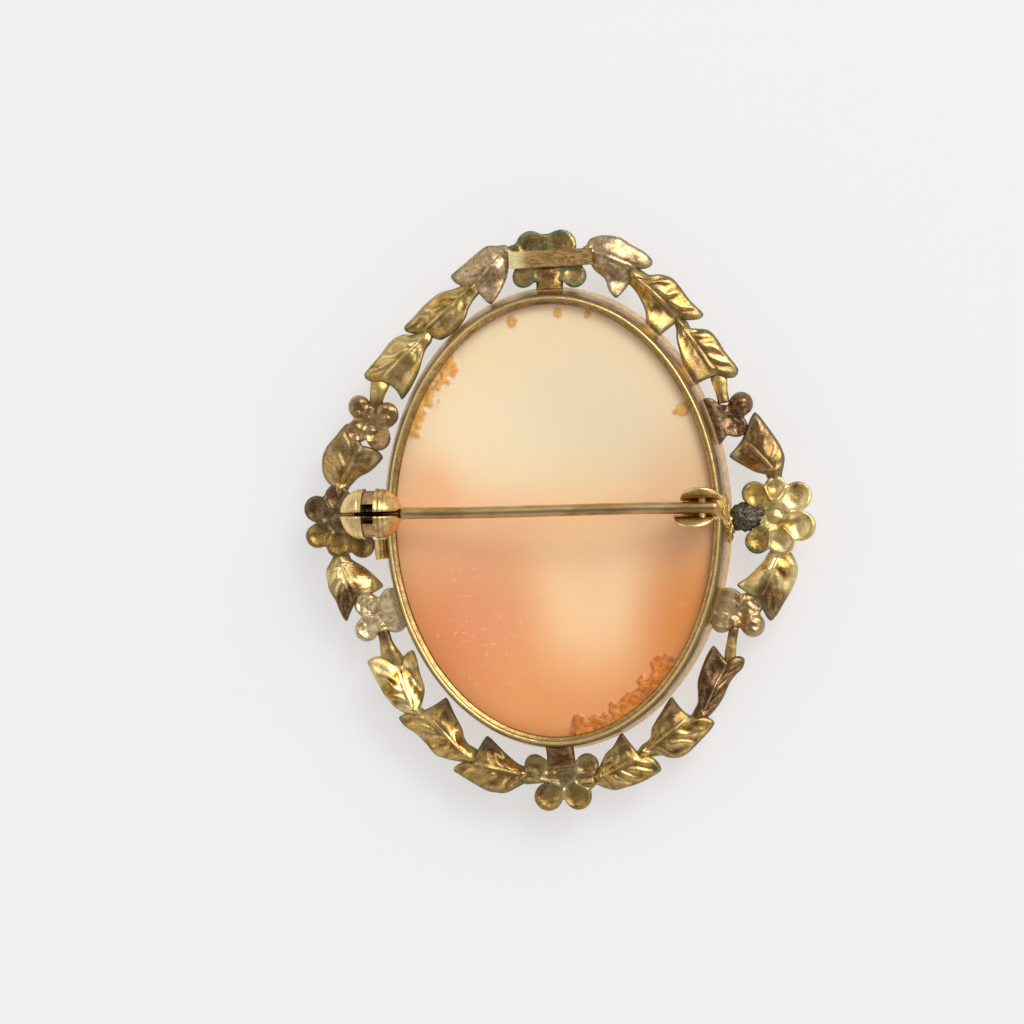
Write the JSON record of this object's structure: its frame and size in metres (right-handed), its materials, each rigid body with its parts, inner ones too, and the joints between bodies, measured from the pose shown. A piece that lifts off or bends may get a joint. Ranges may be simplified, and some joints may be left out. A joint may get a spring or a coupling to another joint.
{
  "type": "cameo brooch",
  "caption": "Oval shell cameo in a bezel with an openwork leaf and flower wreath, a hinged pin across its back and a turning safety catch.",
  "frame": {"origin": "below the middle of the brooch, level with the highest part of the carving, which it rests on face down", "axes": "+Z out of the back, +Y toward the top of the portrait, +X toward the hinge; the carved face looks down -Z"},
  "size_m": [0.0444, 0.05, 0.0116],
  "materials": {
    "carved_shell": "smooth translucent shell, pale carving over a peach ground",
    "bezel_gilt": "old gilt brass, polished on the rim and tarnished in the corners",
    "wreath_gilt": "old gilt brass with brown tarnish, green verdigris and grey worn plating",
    "bar_gilt": "plain worn gilt brass",
    "rivet_gilt": "tarnished brass",
    "pin_wire": "drawn wire, grey-gold, smooth",
    "ring_gilt": "tarnished gilt brass",
    "rotor_gilt": "turned gilt brass, worn on its ridges"
  },
  "bodies": {
    "brooch": {"cameo": "carved_shell", "bezel": "bezel_gilt", "wreath": "wreath_gilt", "back_bar": "bar_gilt", "hinge_rivet": "rivet_gilt", "catch_ring": "ring_gilt"},
    "pin": {"pin_stem": "pin_wire"},
    "catch": {"catch_rotor": "rotor_gilt"}
  },
  "joints": [
    {"name": "pin_swing", "type": "hinge", "parent": "brooch", "child": "pin", "pos_m": [0.0133, 0.0007, 0.00955], "axis": [0, 1, 0], "range_deg": [0, 115]},
    {"name": "catch_turn", "type": "hinge", "parent": "brooch", "child": "catch", "pos_m": [-0.01521, 0.0007, 0.00955], "axis": [1, 0, 0], "range_deg": [0, 150]}
  ]
}
